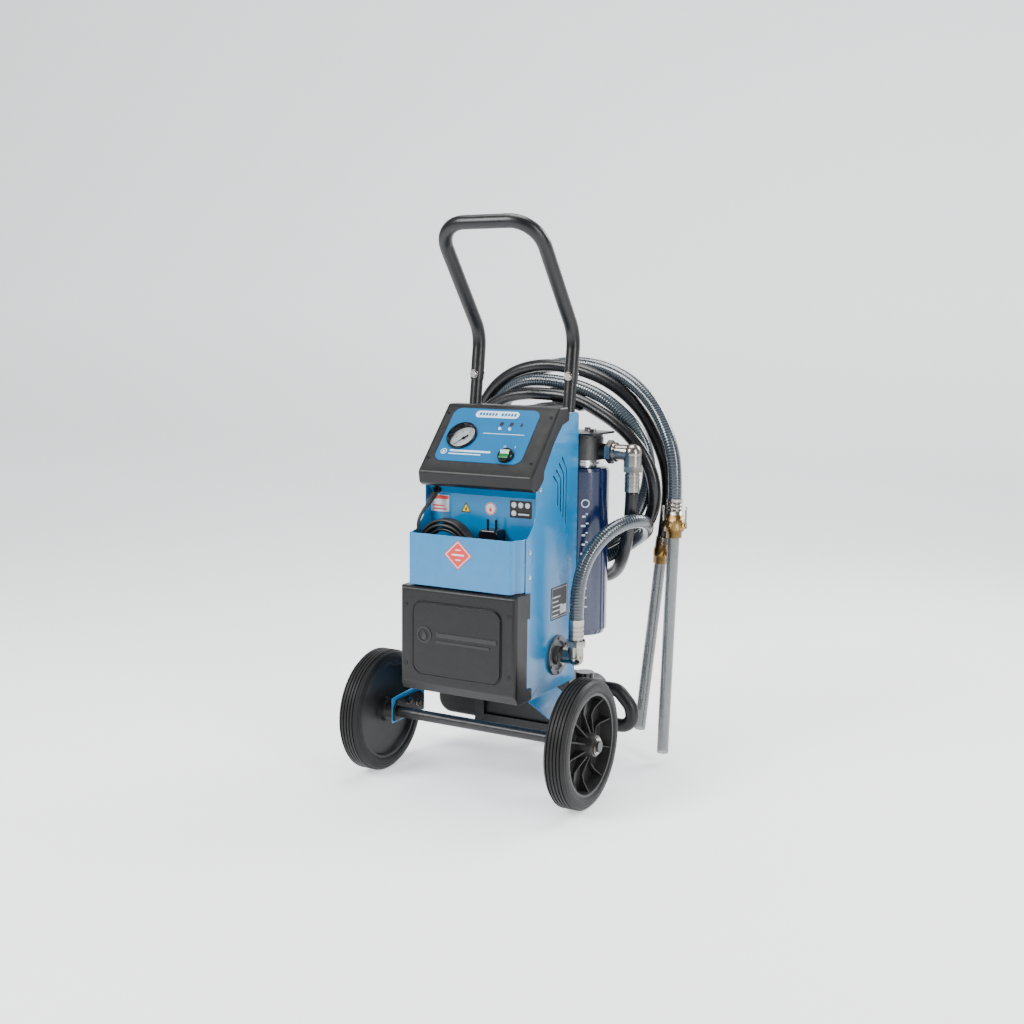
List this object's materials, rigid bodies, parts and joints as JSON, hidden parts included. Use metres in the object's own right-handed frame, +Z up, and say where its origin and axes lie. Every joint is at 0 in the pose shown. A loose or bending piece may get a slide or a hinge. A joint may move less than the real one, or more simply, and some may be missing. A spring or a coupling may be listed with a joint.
{
  "type": "mobile fluid filter cart",
  "caption": "Two-wheeled cart with a push handle, pump casing, spin-on filter, gauge console, spill tank and coiled suction and delivery hoses with lances.",
  "frame": {"origin": "middle of the footprint on the floor: between the wheels in X, and midway between the front of the wheels and the back of the hose hanger in Y", "axes": "+X to the right seen by the operator at the console, +Y to the back, where the filter and hoses are, +Z up"},
  "size_m": [0.5994, 0.522, 1.17],
  "materials": {
    "amber_lens": "gloss",
    "black_casting": "satin",
    "black_gloss": "gloss",
    "black_hose": "satin",
    "black_moulded": "matte",
    "black_powder": "satin",
    "black_rubber": "matte",
    "blue_paint": "gloss",
    "brass": "satin",
    "bright_steel": "satin",
    "can_blue": "gloss",
    "clear_pvc": "gloss",
    "glass": "clear",
    "green_lens": "gloss",
    "grey_casting": "satin",
    "label": "gloss",
    "tyre_rubber": "matte",
    "zinc": "satin"
  },
  "bodies": {
    "cart": {"axle": "black_powder", "axle_plates": "black_powder", "axle_rings": "zinc", "base_panel": "blue_paint", "cable_pocket": "blue_paint", "console_bezel": "black_moulded", "console_label": "label", "delivery_coupling": "zinc", "delivery_hose_coil": "black_hose", "delivery_hose_feed": "black_hose", "delivery_hose_tail": "black_hose", "delivery_lance": "clear_pvc", "filter_bracket": "black_powder", "filter_head": "black_casting", "filter_neck": "bright_steel", "foot_pad": "black_rubber", "frame_bolts": "zinc", "gauge_case": "bright_steel", "gauge_glass": "glass", "handle_legs": "black_powder", "handle_tube": "black_powder", "hose_fittings": "zinc", "hose_hanger": "black_powder", "indicator_lamps": "amber_lens", "lower_cover": "black_moulded", "mains_cable": "black_rubber", "mains_cable_coil": "black_rubber", "mains_gland": "black_gloss", "mains_plug": "black_gloss", "motor_body": "grey_casting", "outlet_elbow": "zinc", "panel_rivets": "zinc", "panel_screws": "black_powder", "pressure_pipe": "zinc", "pump_housing": "grey_casting", "rear_panel": "blue_paint", "recess_panel": "blue_paint", "side_panel_left": "blue_paint", "side_panel_right": "blue_paint", "spill_tank": "black_moulded", "suction_coupling": "brass", "suction_elbow": "zinc", "suction_flange": "grey_casting", "suction_hose_coil": "clear_pvc", "suction_hose_feed": "clear_pvc", "suction_hose_tail": "clear_pvc", "suction_lance": "clear_pvc", "switch_housing": "black_gloss", "tank_shelf": "black_powder"},
    "wheel_left": {"hub_left": "black_moulded", "tyre_left": "tyre_rubber"},
    "wheel_right": {"hub_right": "black_moulded", "tyre_right": "tyre_rubber"},
    "pump_shaft": {"pump_rotor": "bright_steel"},
    "canister": {"filter_can": "can_blue"},
    "cap": {"tank_cap": "black_gloss"},
    "rocker": {"switch_rocker": "green_lens"},
    "needle": {"gauge_needle": "black_powder"},
    "lever_left": {"cam_lever_left": "zinc"},
    "lever_right": {"cam_lever_right": "zinc"}
  },
  "joints": [
    {"name": "wheel_left_turn", "type": "hinge", "parent": "cart", "child": "wheel_left", "pos_m": [-0.24, -0.131, 0.13], "axis": [1, 0, 0], "continuous": true},
    {"name": "wheel_right_turn", "type": "hinge", "parent": "cart", "child": "wheel_right", "pos_m": [0.24, -0.131, 0.13], "axis": [1, 0, 0], "continuous": true},
    {"name": "pump_turn", "type": "hinge", "parent": "cart", "child": "pump_shaft", "pos_m": [0, -0.032, 0.275], "axis": [1, 0, 0], "continuous": true},
    {"name": "canister_unscrew", "type": "hinge", "parent": "cart", "child": "canister", "pos_m": [0.107, 0.123, 0.475], "axis": [0, 0, 1], "continuous": true},
    {"name": "cap_unscrew", "type": "hinge", "parent": "cart", "child": "cap", "pos_m": [0.119, 0.133, 0.195], "axis": [0, 0, 1], "range_deg": [0, 540]},
    {"name": "rocker_press", "type": "hinge", "parent": "cart", "child": "rocker", "pos_m": [0.057, -0.12828, 0.69582], "axis": [-1, 0, 0], "range_deg": [0, 18]},
    {"name": "needle_turn", "type": "hinge", "parent": "cart", "child": "needle", "pos_m": [-0.0635, -0.08928, 0.72123], "axis": [0, 0.742, -0.6704], "range_deg": [0, 270]},
    {"name": "lever_left_open", "type": "hinge", "parent": "cart", "child": "lever_left", "pos_m": [0.2672, 0.201, 0.533], "axis": [0, -1, 0], "range_deg": [0, 100]},
    {"name": "lever_right_open", "type": "hinge", "parent": "cart", "child": "lever_right", "pos_m": [0.3168, 0.201, 0.533], "axis": [0, 1, 0], "range_deg": [0, 100]}
  ]
}
